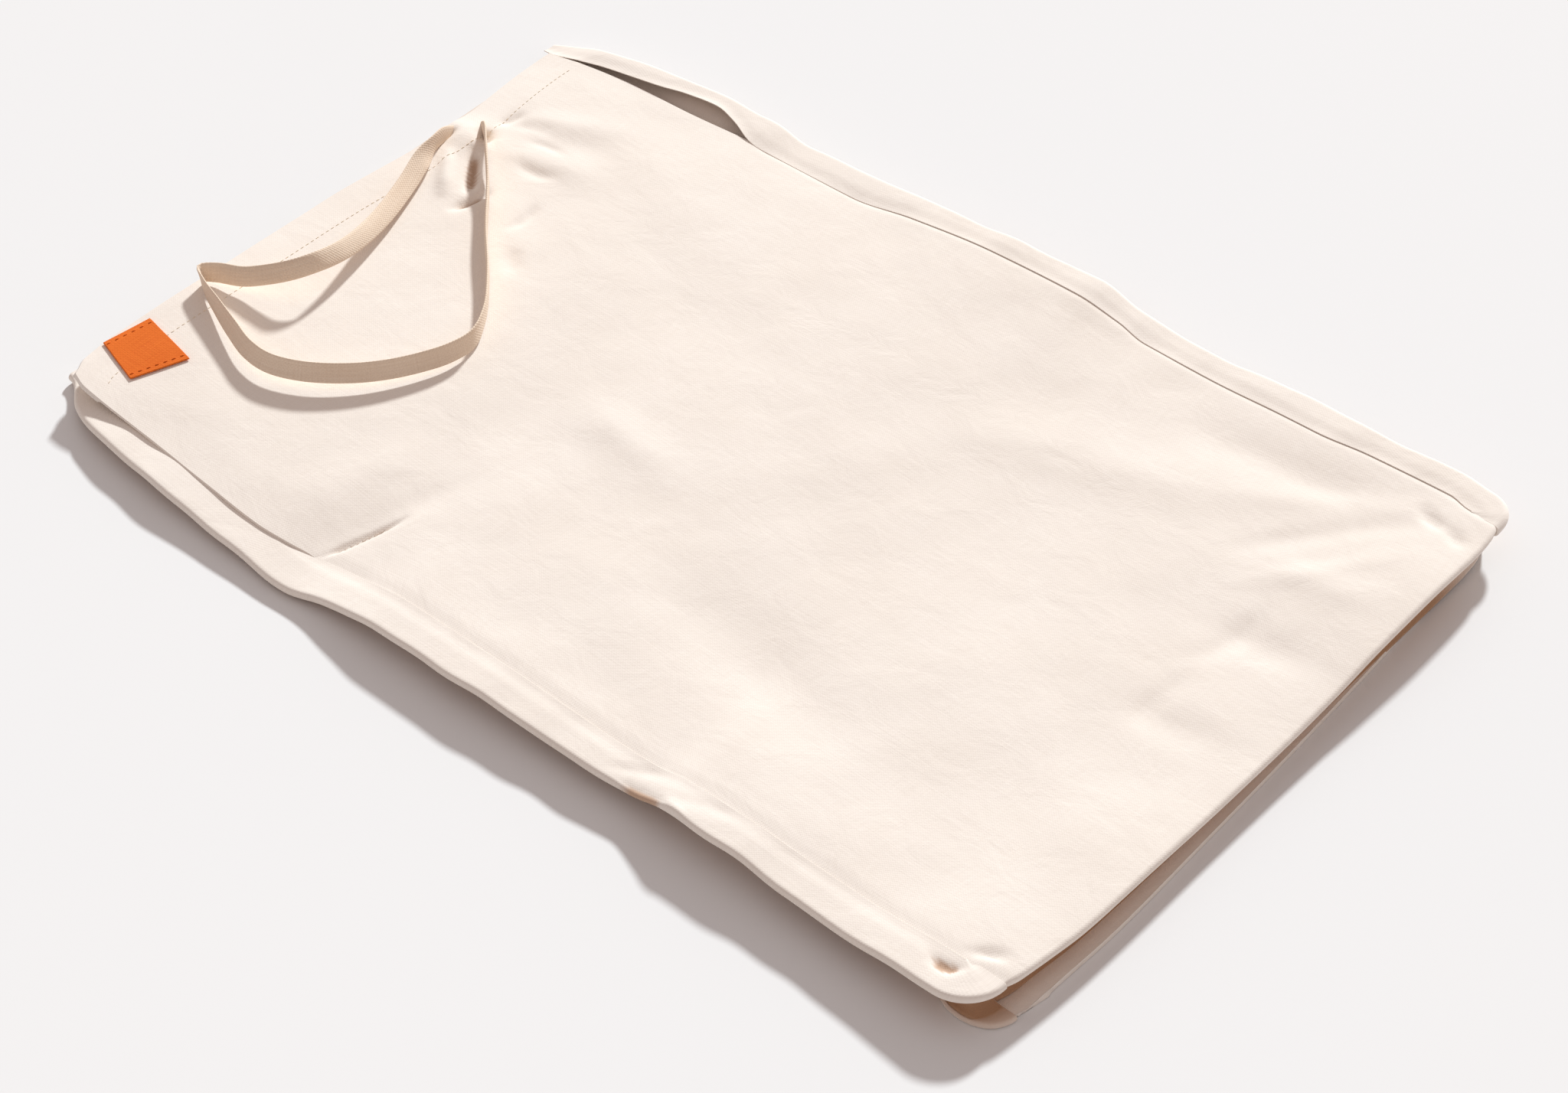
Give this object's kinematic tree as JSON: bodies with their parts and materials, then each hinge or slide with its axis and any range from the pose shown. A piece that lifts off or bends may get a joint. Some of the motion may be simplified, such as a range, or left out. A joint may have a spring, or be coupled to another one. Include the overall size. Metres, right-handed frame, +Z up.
{
  "type": "cotton storage bag",
  "caption": "Flat cotton storage bag lying on its back, with open vents beside the mouth, a casing hem, a flat drawstring tape in a loose loop and a small sewn label.",
  "frame": {"origin": "middle of the bag's outline, on the surface it lies on", "axes": "+X along the bag from its mouth to its bottom, +Y across it, +Z up"},
  "size_m": [0.4736, 0.3172, 0.0285],
  "materials": {
    "bag_cotton": "plain weave, unbleached, matte",
    "tape_cotton": "woven tape, matte",
    "label_weave": "woven label, orange, matte"
  },
  "bodies": {
    "root": {"back_panel": "bag_cotton", "front_panel": "bag_cotton", "drawstring_tape": "tape_cotton", "label": "label_weave"}
  },
  "joints": []
}
